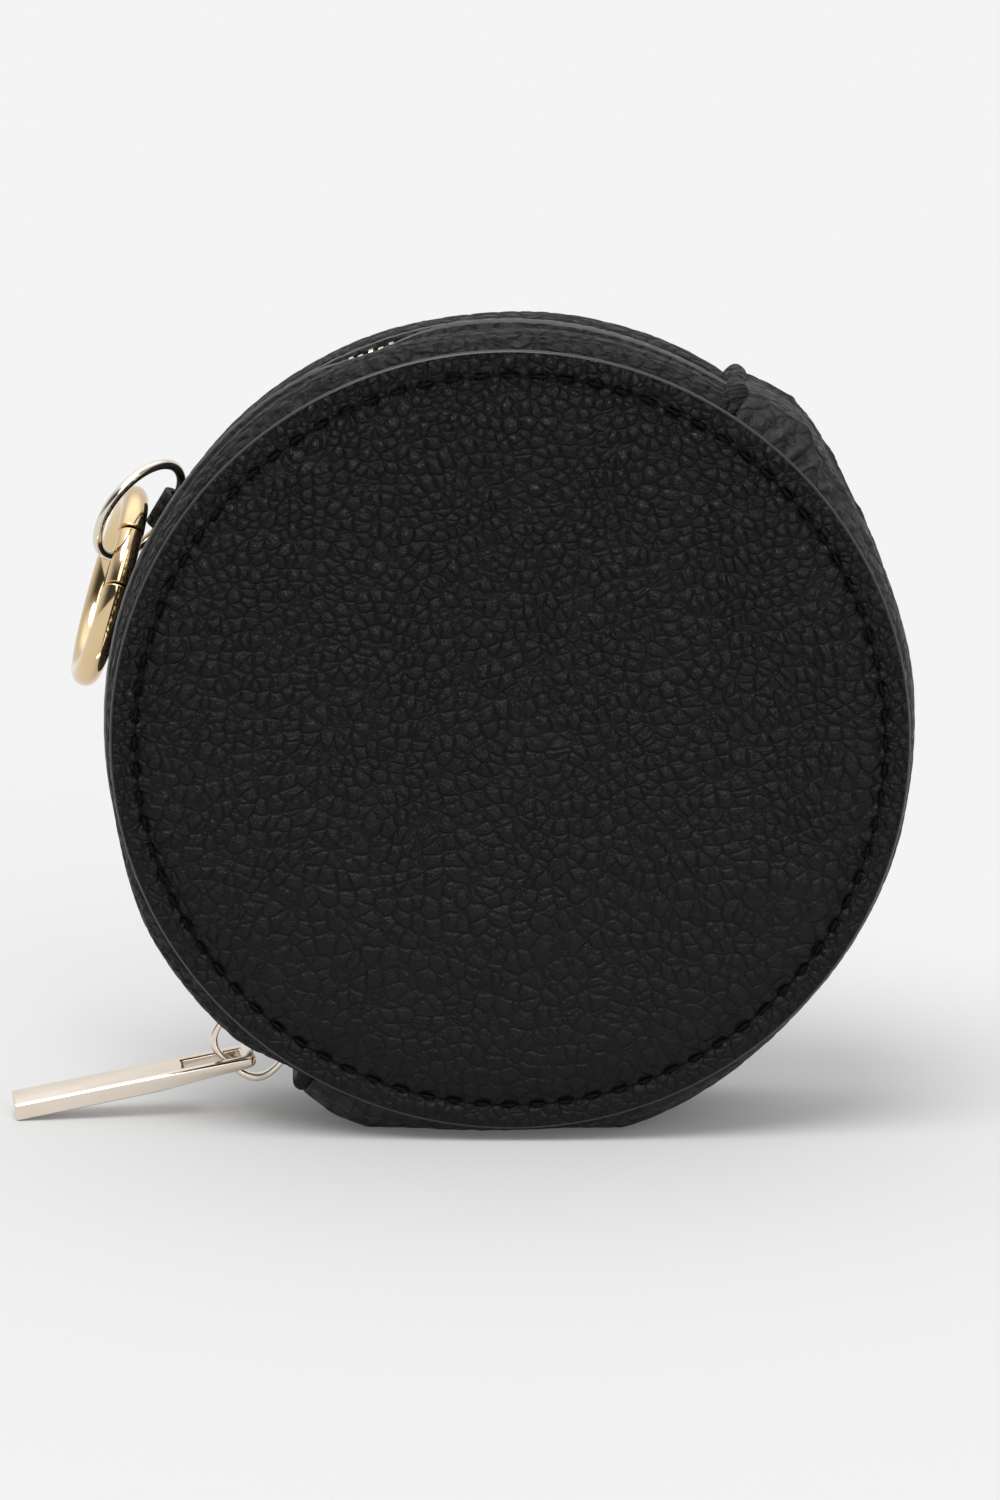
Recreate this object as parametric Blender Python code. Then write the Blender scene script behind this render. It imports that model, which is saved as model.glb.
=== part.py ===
"""A round leather coin purse: two padded leather discs joined by a zip rim and a hinge-side gusset.

The purse stands on its rim. +Z is up, -Y is the front face, and the origin is on the floor
under the discs' centre, midway between the two faces. Lengths below are in millimetres, angles
in degrees, and make_object turns them into metres. A place on the rim is an angle about the
discs' axis, counted from +X towards +Z, a radius from that axis, and a depth along Y.
"""

import math

import bmesh
import bpy
from mathutils import Matrix, Vector

MM = 0.001
GAP = 0.3

# The discs and the layers behind each one, measured from the zip's middle plane outwards.
CENTRE_HEIGHT = 51.5
DISC_RADIUS = 50.0
HALF_DEPTH = 17.0
LEATHER = 1.2
DOME_HEIGHT = 1.5
DOME_RADIUS = 46.2
EDGE_ROUND = 0.35
PADDING_BACK = 15.2
PADDING_RADIUS = 42.5
BOARD_FRONT = 14.9
BOARD = 1.0
BOARD_RADIUS = 43.4
FLANGE_OUTER = 15.5
FLANGE = 0.9
FLANGE_RADIUS = 44.2
FLANGE_BEND = 49.3
SHOULDER_DEPTH = 15.0
CLOTH = 0.45
DISC_LINING_RADIUS = 47.8

# The zip rim: a leather strip on each side of the chain, from the discs' edge to a folded edge.
ZIP_START = 58.0
ZIP_END = 239.5
STRIP_BULGE = 52.1
STRIP_EDGE = 51.3
STRIP_LEATHER = 0.9
ZIP_GAP = 3.2
STRIP_STEP = 6.5
STRIP_LINING_FAR = 13.15
# Each strip's (depth, radius) from the disc's edge over the crown, and back along its inner side.
STRIP_CROWN = ((13.2, 51.3), (10.8, STRIP_BULGE), (8.6, 52.0), (5.5, 51.5), (ZIP_GAP, STRIP_EDGE))
STRIP_INSIDE = ((ZIP_GAP, STRIP_EDGE - STRIP_LEATHER), (5.5, 50.5), (8.6, 50.9), (10.8, 51.0), (12.9, 50.2))
TAPE_INNER = 49.65
TAPE = 0.5
TAPE_NEAR = 2.3
TAPE_FAR = 12.0

# The chain: two rows of teeth that mesh at rest, from the bottom stop into the slider.
TOOTH_PITCH = 2.7
TOOTH_LENGTH = 1.1
TOOTH_OUTER = 51.2
TOOTH_INNER = 48.8
BEAD_INNER = 49.6
BEAD_OUTER = 50.4
CHAIN_RADIUS = 50.0
CHAIN_HALF = 2.0
TOOTH_LAP = 0.55
CHAIN_START = 61.6

# The slider, at rest beside the top stops.
SLIDER_ANGLE = 231.0
SLIDER_HALF_LENGTH = 5.3
PLATE_UNDER = 51.65
PLATE = 0.9
CHANNEL_INNER = 2.3
CHANNEL_OUTER = 2.85
CROWN_HEIGHT = 5.8
CROWN_OFFSET = 0.5
CROWN_HALF_SPAN = 5.1
CROWN_HALF_WIDTH = 0.8
CROWN_THICKNESS = 0.8

# The pull bar, which hangs from the crown by the cross bar at the inner end of its slot.
PULL_PIVOT = (-34.2, 0.35, 7.0)
PULL_SLOPE = 190.3
PULL_YAW = -6.5
PULL_ROLL = -9.0
PULL_LENGTH = 31.0
PULL_HALF_WIDTH = 2.8
PULL_EYE = 0.9
SLOT_END = 8.6
SLOT_HALF_WIDTH = 1.45

# The hanger: a leather tab over the rear seam, a wire ring through it, and a gate ring on that.
HANGER_CENTRE = (-48.25, 11.8, 77.05)
HANGER_NORMAL = (0.691, -0.520, -0.503)
HANGER_RADIUS = 7.25
HANGER_WIRE = 0.65
TAB_WIDTH = 5.0
TAB_BORE = 1.25
TAB_LEATHER = 0.9
# The rim's (depth, radius) outline under the tab, a gap outside the rear strip and disc edge.
TAB_SEAT = ((3, 51.65), (5.4, 51.85), (8.6, 52.35), (10.9, 52.45), (13.4, 51.65), (15.2, 50.6))
TAB_SEAT += ((15.8, 50.35), (17.35, 50.35))
GATE_RING_CENTRE = (-52.6, 18.15, 66.1)
GATE_RING_NORMAL = (-0.9536, -0.0905, 0.2871)
GATE_RING_RADIUS = 11.85
GATE_RING_TUBE = 1.75
GATE_START = 42.0
GATE_END = 82.0
GATE_TUBE = 1.6
HINGE_PIN = 0.3
HINGE_BORE = 0.38
HINGE_INSET = 0.8
TONGUE_HALF = 0.5
HINGE_SETBACK = 4.8
GATE_TIP_GAP = 0.4
GATE_SIDES = 10

# The hinge-side gusset, flattened where it stands on the floor, and the ribs at its two ends.
GUSSET_LEATHER = 1.1
GUSSET_CREST = 51.6
GUSSET_STEP = 5.5
GUSSET_BULGES = ((48.0 + 360, 2.4, 7.0), (247.0, 2.8, 8.0), (286.0, 1.8, 14.0))
SEAM_RADIUS = 50.2
RIB_HALF = 1.05
RIB_CLEAR = RIB_HALF + 0.4
RIB_CREST = 52.7
RIB_NOTCH = 50.9
RIB_INNER = 49.0


def rim(angle, radius, depth):
    """The point at this angle, radius and depth, in millimetres."""
    turn = math.radians(angle)
    return Vector((radius * math.cos(turn), depth, CENTRE_HEIGHT + radius * math.sin(turn)))


def outward(angle):
    turn = math.radians(angle)
    return Vector((math.cos(turn), 0.0, math.sin(turn)))


def material(name, colour, roughness, metallic):
    made = bpy.data.materials.new(name)
    made.use_nodes = True
    shader = made.node_tree.nodes["Principled BSDF"]
    shader.inputs["Base Color"].default_value = (*colour, 1.0)
    shader.inputs["Roughness"].default_value = roughness
    shader.inputs["Metallic"].default_value = metallic
    return made


def make_object(name, points, faces, finish, pivot=(0.0, 0.0, 0.0)):
    """A closed mesh from points in millimetres, with its origin at the pivot."""
    pivot = Vector(pivot)
    mesh = bpy.data.meshes.new(name)
    mesh.from_pydata([(Vector(p) - pivot) * MM for p in points], [], faces)
    shape = bmesh.new()
    shape.from_mesh(mesh)
    bmesh.ops.recalc_face_normals(shape, faces=shape.faces)
    shape.to_mesh(mesh)
    shape.free()
    mesh.materials.append(finish)
    mesh.shade_smooth()
    mesh.set_sharp_from_angle(angle=math.radians(35))
    made = bpy.data.objects.new(name, mesh)
    made.location = pivot * MM
    bpy.context.scene.collection.objects.link(made)
    return made


def loft(rings):
    """Points and faces of the solid through these rings, each a loop of the same length."""
    count = len(rings[0])
    points = [point for ring in rings for point in ring]
    faces = [tuple(reversed(range(count)))]
    for n in range(len(rings) - 1):
        for k in range(count):
            near, far = n * count + k, n * count + (k + 1) % count
            faces.append((near, far, far + count, near + count))
    faces.append(tuple(range(len(points) - count, len(points))))
    return points, faces


def around(start, end, step):
    """Evenly spaced angles from start to end, no further apart than step."""
    count = math.ceil((end - start) / step)
    return [start + (end - start) * n / count for n in range(count + 1)]


def rim_loft(name, section, angles, finish):
    """A solid swept round the rim. section(angle) gives its (depth, radius) outline there."""
    rings = [[rim(angle, r, y) for y, r in section(angle)] for angle in angles]
    return make_object(name, *loft(rings), finish)


def turned(name, outline, segments, finish):
    """A solid turned about the discs' axis. The outline of (depth, radius) ends on the axis."""
    points, faces, loops = [], [], []
    for depth, radius in outline:
        places = 1 if radius == 0 else segments
        loops.append(range(len(points), len(points) + places))
        points += [rim(360 * n / segments, radius, depth) for n in range(places)]
    for here, there in zip(loops, loops[1:]):
        for n in range(segments):
            corners = [here[n % len(here)], here[(n + 1) % len(here)]]
            corners += [there[(n + 1) % len(there)], there[n % len(there)]]
            faces.append(tuple(dict.fromkeys(corners)))
    return make_object(name, points, faces, finish)


def tube(centre_line, across, radius, sides, closed):
    """Points and faces of a round tube. across(n) gives two unit vectors square to the line."""
    rings = []
    for n, centre in enumerate(centre_line):
        u, v = across(n)
        turns = [2 * math.pi * k / sides for k in range(sides)]
        rings.append([centre + (u * math.cos(t) + v * math.sin(t)) * radius for t in turns])
    points, faces = loft(rings)
    if closed:
        last = len(points) - sides
        faces = faces[1:-1]
        for k in range(sides):
            k2 = (k + 1) % sides
            faces.append((last + k, last + k2, k2, k))
    return points, faces


def ring_arc(centre, right, up, radius, wire, start, end, sides, steps):
    """A tube along an arc in the plane of right and up, closed when it makes a full turn."""
    whole = end - start == 360
    angles = [start + (end - start) * n / steps for n in range(steps if whole else steps + 1)]
    spokes = [right * math.cos(math.radians(a)) + up * math.sin(math.radians(a)) for a in angles]
    line = [centre + spoke * radius for spoke in spokes]
    normal = right.cross(up)
    return tube(line, lambda n: (spokes[n], normal), wire, sides, whole)


def boolean(target, other, operation):
    """Applies a cutter or an addition to the target, and removes it."""
    modifier = target.modifiers.new(operation.title(), "BOOLEAN")
    modifier.operation = operation
    modifier.object = other
    modifier.solver = "EXACT"
    graph = bpy.context.evaluated_depsgraph_get()
    mesh = bpy.data.meshes.new_from_object(target.evaluated_get(graph))
    target.modifiers.clear()
    target.data = mesh
    bpy.data.objects.remove(other)


def cylinder(centre, axis, radius, length, sides):
    axis = axis.normalized()
    u = axis.orthogonal().normalized()
    v = axis.cross(u)
    ends = [centre - axis * length / 2, centre + axis * length / 2]
    return tube(ends, lambda n: (u, v), radius, sides, False)


def block(centre, u, v, w, half):
    """A box with these three unit edges and half sizes."""
    rings = []
    for c in (-half[2], half[2]):
        corners = [(-1, -1), (1, -1), (1, 1), (-1, 1)]
        rings.append([centre + u * a * half[0] + v * b * half[1] + w * c for a, b in corners])
    return loft(rings)


def disc_side(side, prefix, finishes):
    """The layers of one face. side is -1 at the front and 1 at the rear."""
    face, rise, edge = HALF_DEPTH, DOME_HEIGHT, EDGE_ROUND
    rings = 4
    dome = []
    for n in range(rings + 1):
        part = n / rings
        dome.append((rise * (1 - part**2) ** 1.5, DOME_RADIUS * part))
    outside = [(face + h, r) for h, r in dome]
    outside += [(face, DISC_RADIUS - edge), (face - edge, DISC_RADIUS)]
    outside += [(face - LEATHER - GAP + edge, DISC_RADIUS), (face - LEATHER, DISC_RADIUS - edge)]
    inside = [(face - LEATHER + h, r) for h, r in reversed(dome)]
    outline = [(side * y, r) for y, r in outside + inside]
    turned(prefix + "_panel", outline, 56, finishes["leather"])

    reach = PADDING_RADIUS / DOME_RADIUS
    top = []
    for n in range(rings):
        part = reach * n / (rings - 1)
        height = face - LEATHER + rise * (1 - part**2) ** 1.5
        top.append((height - GAP, DOME_RADIUS * part))
    outline = [(side * y, r) for y, r in top + [(PADDING_BACK, PADDING_RADIUS), (PADDING_BACK, 0)]]
    turned(prefix + "_padding", outline, 32, finishes["foam"])

    slab = [(BOARD_FRONT, 0), (BOARD_FRONT, BOARD_RADIUS)]
    slab += [(BOARD_FRONT - BOARD, BOARD_RADIUS), (BOARD_FRONT - BOARD, 0)]
    turned(prefix + "_stiffener", [(side * y, r) for y, r in slab], 40, finishes["board"])

    cloth = BOARD_FRONT - BOARD - GAP
    slab = [(cloth, 0), (cloth, DISC_LINING_RADIUS)]
    slab += [(cloth - CLOTH, DISC_LINING_RADIUS), (cloth - CLOTH, 0)]
    turned(prefix + "_lining", [(side * y, r) for y, r in slab], 40, finishes["cloth"])


def strip_section(side):
    """One rim strip: a flange behind the disc, a rounded shoulder, and the folded zip edge."""
    inner = FLANGE_OUTER - FLANGE
    outline = [(FLANGE_OUTER, FLANGE_RADIUS), (FLANGE_OUTER, FLANGE_BEND), (SHOULDER_DEPTH, SEAM_RADIUS)]
    outline += [*STRIP_CROWN, *STRIP_INSIDE, (inner, 49.0), (inner, FLANGE_RADIUS)]
    return [(side * y, r) for y, r in outline]


def rim_sides(side, prefix, finishes):
    angles = around(ZIP_START + RIB_CLEAR, ZIP_END - RIB_CLEAR, STRIP_STEP)
    section = strip_section(side)
    rim_loft(prefix + "_zip_strip", lambda a: section, angles, finishes["leather"])

    under = TAPE_INNER - GAP
    cloth = [(ZIP_GAP, under), (STRIP_LINING_FAR, under)]
    cloth += [(STRIP_LINING_FAR, under - CLOTH), (ZIP_GAP, under - CLOTH)]
    cloth = [(side * y, r) for y, r in cloth]
    rim_loft(prefix + "_strip_lining", lambda a: cloth, angles, finishes["cloth"])

    weave = [(TAPE_NEAR, TAPE_INNER), (TAPE_FAR, TAPE_INNER)]
    weave += [(TAPE_FAR, TAPE_INNER + TAPE), (TAPE_NEAR, TAPE_INNER + TAPE)]
    weave = [(side * y, r) for y, r in weave]
    rim_loft(prefix + "_zip_tape", lambda a: weave, angles, finishes["tape"])


def teeth_row(side, name, finish):
    """A row of teeth on its bead. The rear row's teeth stand half a pitch on from the front's."""
    pitch = math.degrees(TOOTH_PITCH / CHAIN_RADIUS)
    half = math.degrees(TOOTH_LENGTH / CHAIN_RADIUS) / 2
    bead = [(1.0, BEAD_INNER), (1.9, BEAD_INNER), (1.9, BEAD_OUTER), (1.0, BEAD_OUTER)]
    tooth = [(-TOOTH_LAP, TOOTH_INNER), (CHAIN_HALF, TOOTH_INNER)]
    tooth += [(CHAIN_HALF, TOOTH_OUTER), (-TOOTH_LAP, TOOTH_OUTER)]
    count = int((SLIDER_ANGLE - CHAIN_START) / pitch)
    stations = [(CHAIN_START, bead)]
    for n in range(count):
        middle = CHAIN_START + pitch * (n + 0.3 + (0.5 if side > 0 else 0.0))
        stations += [(middle - half, bead), (middle - half, tooth)]
        stations += [(middle + half, tooth), (middle + half, bead)]
    stations.append((SLIDER_ANGLE + 0.9, bead))
    rings = [[rim(a, r, side * y) for y, r in outline] for a, outline in stations]
    make_object(name, *loft(rings), finish)


def stops(finish):
    """The two top stops on their tapes, and the bottom stop across both."""
    for side, name in ((-1, "front_top_stop"), (1, "rear_top_stop")):
        clip = [(side * 1.0, 49.0), (side * 2.0, 49.0), (side * 2.0, 51.0), (side * 1.0, 51.0)]
        angles = [SLIDER_ANGLE + 1.6, SLIDER_ANGLE + 3.9]
        rim_loft(name, lambda a, clip=clip: clip, angles, finish)
    clip = [(-CHAIN_HALF, 48.9), (CHAIN_HALF, 48.9), (CHAIN_HALF, 51.1), (-CHAIN_HALF, 51.1)]
    rim_loft("bottom_stop", lambda a: clip, [CHAIN_START - 2.0, CHAIN_START - 0.4], finish)


def plate_width(part):
    """The slider's half width, from 0 at its tail to 1 at its nose: a shield outline."""
    tail = 1.9 + 1.1 * min(1.0, 4 * part) ** 0.5
    nose = math.sqrt(max(0.0, 1.0 - max(0.0, (part - 0.72) / 0.34) ** 2))
    spread = 0.7 * min(1.0, part / 0.7)
    return (tail + spread) * nose


def slider(finish):
    """The slider's body: two channelled plates joined by the wedge at the nose."""
    reach = math.degrees(SLIDER_HALF_LENGTH / PLATE_UNDER)
    angles = around(SLIDER_ANGLE - reach, SLIDER_ANGLE + reach, 1.0)
    span = angles[-1] - angles[0]
    top = PLATE_UNDER + PLATE

    def upper(angle):
        wide = max(CHANNEL_OUTER + 0.05, plate_width((angle - angles[0]) / span))
        crest = top - 0.25
        half = [(wide - 0.3, top), (wide, crest), (wide, PLATE_UNDER), (CHANNEL_OUTER, PLATE_UNDER)]
        half += [(CHANNEL_OUTER, 50.45), (CHANNEL_INNER, 50.45), (CHANNEL_INNER, 51.5)]
        return half + [(-y, r) for y, r in reversed(half)]

    def lower(angle):
        half = [(CHANNEL_INNER, 48.5), (CHANNEL_INNER, 49.35), (CHANNEL_OUTER, 49.35)]
        half += [(CHANNEL_OUTER, 47.6)]
        return half + [(-y, r) for y, r in reversed(half)]

    body = rim_loft("slider_body", upper, angles, finish)
    boolean(body, rim_loft("lower_plate", lower, [angles[0], SLIDER_ANGLE, angles[-1]], finish), "UNION")
    wedge = [(-0.7, 48.0), (0.7, 48.0), (0.7, 52.0), (-0.7, 52.0)]
    sharp = [(y * 0.4, r) for y, r in wedge]
    middle = {SLIDER_ANGLE + 0.9: sharp, SLIDER_ANGLE + 2.4: wedge, SLIDER_ANGLE + 4.6: wedge}
    boolean(body, rim_loft("wedge", middle.get, list(middle), finish), "UNION")
    return body


def slider_frame():
    """The slider's middle on the rim, its direction of travel, and its outward direction."""
    away = outward(SLIDER_ANGLE)
    along = Vector((-away.z, 0.0, away.x))
    return rim(SLIDER_ANGLE, 0, 0), along, away


def crown(finish):
    """The arch over the slider's top plate that the pull bar hangs from."""
    base, along, away = slider_frame()
    foot = PLATE_UNDER + PLATE + GAP
    round_off = 0.62
    steps = 16
    rings = []
    for n in range(steps + 1):
        turn = math.pi * (1 - n / steps)
        spread = abs(math.cos(turn)) ** round_off * math.copysign(1, math.cos(turn))
        height = abs(math.sin(turn)) ** round_off
        ring = []
        for shrink, width in ((1, -1), (1, 1), (0, 1), (0, -1)):
            span = CROWN_HALF_SPAN - CROWN_THICKNESS * (1 - shrink)
            rise = CROWN_HEIGHT - CROWN_THICKNESS * (1 - shrink)
            place = base + along * (CROWN_OFFSET + span * spread) + away * (foot + rise * height)
            ring.append(place + Vector((0, width * CROWN_HALF_WIDTH, 0)))
        rings.append(ring)
    make_object("slider_crown", *loft(rings), finish)


def lock_spring(finish):
    """The leaf in the crown that presses the lock pin down between the teeth."""
    base, along, away = slider_frame()
    foot = PLATE_UNDER + PLATE + GAP
    middle = base + away * (foot + 0.2) - along * 1.4
    leaf = block(middle, along, Vector((0, 1, 0)), away, (1.9, 0.6, 0.2))
    make_object("slider_lock_spring", *leaf, finish)


def pull_bar(finish):
    """A long bar, thinner towards the slider, with a slot that the crown passes through."""
    turn = math.radians(PULL_SLOPE)
    frame = Matrix.Rotation(-turn, 3, "Y") @ Matrix.Rotation(math.radians(PULL_YAW), 3, "Z")
    frame = frame @ Matrix.Rotation(math.radians(PULL_ROLL), 3, "X")
    along, across, over = (frame @ Vector(axis) for axis in ((1, 0, 0), (0, 1, 0), (0, 0, 1)))
    pivot = Vector(PULL_PIVOT)
    ends = [(-PULL_EYE, 1.9, 0.55), (-PULL_EYE + 0.5, 2.5, 0.7), (0.6, PULL_HALF_WIDTH, 0.75)]
    ends += [(6.0, PULL_HALF_WIDTH, 0.95), (12.0, PULL_HALF_WIDTH, 1.45)]
    ends += [(PULL_LENGTH, PULL_HALF_WIDTH, 1.55)]
    face = 0.75
    rings = []
    for reach, half, under in ends:
        corners = [(-half, face), (half, face), (half, -under), (-half, -under)]
        rings.append([pivot + along * reach + across * a - over * b for a, b in corners])
    bar = make_object("pull_bar", *loft(rings), finish, pivot)
    middle = pivot + along * (PULL_EYE + SLOT_END) / 2
    half = ((SLOT_END - PULL_EYE) / 2, SLOT_HALF_WIDTH, 4.0)
    cutter = make_object("slot", *block(middle, along, across, over, half), finish)
    boolean(bar, cutter, "DIFFERENCE")
    edges = bar.modifiers.new("Edges", "BEVEL")
    edges.width = 0.22 * MM
    edges.segments = 1
    edges.limit_method = "ANGLE"
    edges.angle_limit = math.radians(40)
    return bar


def gusset_crest(angle):
    """The gusset's outer radius, fuller at its bulges and flat along the floor."""
    crest = GUSSET_CREST
    for middle, rise, spread in GUSSET_BULGES:
        crest += rise * math.exp(-(((angle - middle) / spread) ** 2) / 2)
    drop = -math.sin(math.radians(angle))
    return min(crest, CENTRE_HEIGHT / drop) if drop > 0.5 else crest


def gusset(finishes):
    angles = around(ZIP_END + RIB_CLEAR, 360 + ZIP_START - RIB_CLEAR, GUSSET_STEP)

    def shell(angle):
        crest = gusset_crest(angle)
        side = SEAM_RADIUS + 0.6 * (crest - SEAM_RADIUS)
        half = [(FLANGE_OUTER, FLANGE_RADIUS), (FLANGE_OUTER, FLANGE_BEND), (SHOULDER_DEPTH, SEAM_RADIUS)]
        half += [(13.2, side), (9.6, crest)]
        back = [(9.4, crest - GUSSET_LEATHER), (12.7, side - GUSSET_LEATHER), (14.2, 49.3)]
        back += [(FLANGE_OUTER - FLANGE, 48.9), (FLANGE_OUTER - FLANGE, FLANGE_RADIUS)]
        outer = half + [(-y, r) for y, r in reversed(half)]
        inner = [(-y, r) for y, r in reversed(back)] + back
        return outer + inner

    rim_loft("gusset", shell, angles, finishes["leather"])

    def cloth(angle):
        crest = gusset_crest(angle) - GUSSET_LEATHER - GAP
        side = SEAM_RADIUS + 0.6 * (gusset_crest(angle) - SEAM_RADIUS) - GUSSET_LEATHER - GAP
        half = [(12.8, 48.3), (12.3, side), (9.2, crest)]
        back = [(9.0, crest - CLOTH), (11.8, side - CLOTH), (12.35, 48.3)]
        outer = half + [(-y, r) for y, r in reversed(half)]
        return outer + [(-y, r) for y, r in reversed(back)] + back

    rim_loft("gusset_lining", cloth, angles, finishes["cloth"])


def end_rib(name, angle, finish):
    """The raised seam where one end of the gusset is sewn across the ends of the zip strips."""
    half = [(14.9, 49.6), (14.6, 50.4), (13.0, 51.6), (10.0, RIB_CREST), (6.0, RIB_CREST)]
    half += [(2.5, 51.6), (0.6, RIB_NOTCH)]
    outer = half + [(-y, r) for y, r in reversed(half)]
    outline = outer + [(-13.9, RIB_INNER), (13.9, RIB_INNER)]

    def section(place):
        slim = 0.25 if abs(place - angle) > RIB_HALF / 2 else 0.0
        return [(y, max(r - slim, RIB_INNER)) for y, r in outline]

    places = [angle + RIB_HALF * t for t in (-1, -0.45, 0.45, 1)]
    rim_loft(name, section, places, finish)


def circle_frame(centre, normal):
    """The centre, normal, near and upward directions of a ring that stands across the rim."""
    normal = Vector(normal).normalized()
    near = (Vector((0, -1, 0)) + normal * normal.y).normalized()
    up = near.cross(normal)
    up *= math.copysign(1, up.z)
    return Vector(centre), normal, near, up


def hanger_eye():
    """The place where the wire ring goes through the tab, and the wire's direction there."""
    centre, normal, near, up = circle_frame(HANGER_CENTRE, HANGER_NORMAL)
    turn = math.radians(10)
    spoke = -near * math.cos(turn) + up * math.sin(turn)
    return centre + spoke * HANGER_RADIUS, normal.cross(spoke), spoke


def hanger_tab(finish):
    """A strap over the wire ring, with its two ends held at the rear seam."""
    eye, along, spoke = hanger_eye()
    along *= math.copysign(1, -along.z)
    middle = eye - spoke * 0.25
    tab = make_object("hanger_tab", *cylinder(middle, along, TAB_BORE + TAB_LEATHER, TAB_WIDTH, 20), finish)
    bore = cylinder(middle, along, TAB_BORE, TAB_WIDTH + 2, 20)
    boolean(tab, make_object("bore", *bore, finish), "DIFFERENCE")
    outline = [(3, 0), *TAB_SEAT, (HALF_DEPTH + 0.35, 0)]
    boolean(tab, turned("rim", outline, 128, finish), "DIFFERENCE")


def hanger_ring(finish):
    centre, normal, near, up = circle_frame(HANGER_CENTRE, HANGER_NORMAL)
    shape = ring_arc(centre, near, up, HANGER_RADIUS, HANGER_WIRE, 0, 360, 8, 32)
    make_object("hanger_ring", *shape, finish, hanger_eye()[0])


def gate_place(angle, inset=0.0):
    """A point on or inside the gate ring's middle line. 0 is the top and 90 the near side."""
    centre, normal, near, up = circle_frame(GATE_RING_CENTRE, GATE_RING_NORMAL)
    turn = math.radians(angle)
    spoke = up * math.cos(turn) + near * math.sin(turn)
    return centre + spoke * (GATE_RING_RADIUS - inset), spoke


def gate_tip(pin, reach, thick):
    """A cutter beyond the flat end of the gate, which lies square to the line from its pin."""
    tip = gate_place(GATE_END)[0]
    normal = circle_frame(GATE_RING_CENTRE, GATE_RING_NORMAL)[1]
    chord = (tip - pin).normalized()
    half = (abs(thick) / 2, 4, 4)
    return block(pin + chord * (reach + thick / 2), chord, chord.cross(normal), normal, half)


def gate_ring(finish):
    """An open ring whose gap is closed by a gate that swings inwards on a pin between two ears."""
    centre, normal, near, up = circle_frame(GATE_RING_CENTRE, GATE_RING_NORMAL)
    pin, spoke = gate_place(GATE_START - HINGE_SETBACK, HINGE_INSET)
    reach = (gate_place(GATE_END)[0] - pin).length
    start, end = GATE_END - 10, 360 + GATE_START
    shape = ring_arc(centre, up, near, GATE_RING_RADIUS, GATE_RING_TUBE, start, end, GATE_SIDES, 38)
    ring = make_object("gate_ring", *shape, finish, centre)
    boolean(ring, make_object("end", *gate_tip(pin, reach, -5), finish), "DIFFERENCE")
    across = spoke.cross(normal)
    slot = block(pin - spoke * 1.7, across, spoke, normal, (2.0, 3.0, TONGUE_HALF + GAP))
    boolean(ring, make_object("slot", *slot, finish), "DIFFERENCE")
    hole = cylinder(pin, normal, HINGE_BORE, 2.9, 12)
    boolean(ring, make_object("hole", *hole, finish), "DIFFERENCE")

    start, end = GATE_START + 2.2, GATE_END + 10
    shape = ring_arc(centre, up, near, GATE_RING_RADIUS, GATE_TUBE, start, end, GATE_SIDES, 8)
    gate = make_object("gate", *shape, finish, pin)
    boolean(gate, make_object("end", *gate_tip(pin, reach - GATE_TIP_GAP, 6), finish), "DIFFERENCE")
    root, spoke = gate_place(GATE_START - 0.5, HINGE_INSET)
    across = spoke.cross(normal)
    tongue = block(root, across, spoke, normal, (1.75, 0.7, TONGUE_HALF))
    boolean(gate, make_object("tongue", *tongue, finish), "UNION")
    hole = cylinder(pin, normal, HINGE_BORE, 3.0, 12)
    boolean(gate, make_object("hole", *hole, finish), "DIFFERENCE")
    make_object("gate_pin", *cylinder(pin, normal, HINGE_PIN, 2.6, 12), finish, pin)


def main():
    for old in list(bpy.data.objects):
        bpy.data.objects.remove(old)
    black = material("black_leather", (0.012, 0.011, 0.011), 0.5, 0.0)
    finishes = {
        "leather": black,
        "foam": material("padding_foam", (0.75, 0.73, 0.68), 0.9, 0.0),
        "board": material("fibre_board", (0.35, 0.27, 0.19), 0.85, 0.0),
        "cloth": material("lining_cloth", (0.03, 0.03, 0.032), 0.85, 0.0),
        "tape": material("zip_tape", (0.012, 0.012, 0.013), 0.8, 0.0),
        "metal": material("pale_gold", (0.85, 0.68, 0.45), 0.18, 1.0),
    }
    for side, prefix in ((-1, "front"), (1, "rear")):
        disc_side(side, prefix, finishes)
        rim_sides(side, prefix, finishes)
        teeth_row(side, prefix + "_zip_teeth", finishes["metal"])
    stops(finishes["metal"])
    slider(finishes["metal"])
    crown(finishes["metal"])
    lock_spring(finishes["metal"])
    pull_bar(finishes["metal"])
    gusset(finishes)
    end_rib("upper_end_rib", ZIP_START, black)
    end_rib("lower_end_rib", ZIP_END, black)
    hanger_tab(black)
    hanger_ring(finishes["metal"])
    gate_ring(finishes["metal"])


main()
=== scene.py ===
"""The looks of the round leather coin purse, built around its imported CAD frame.

Lengths are in millimetres and angles in degrees until a mesh is made. A place on the rim is an
angle about the discs' axis, counted from +X towards +Z, a radius from that axis, and a depth
along Y. The front face is at -Y, and the floor is at Z = 0.
"""

import math

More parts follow.
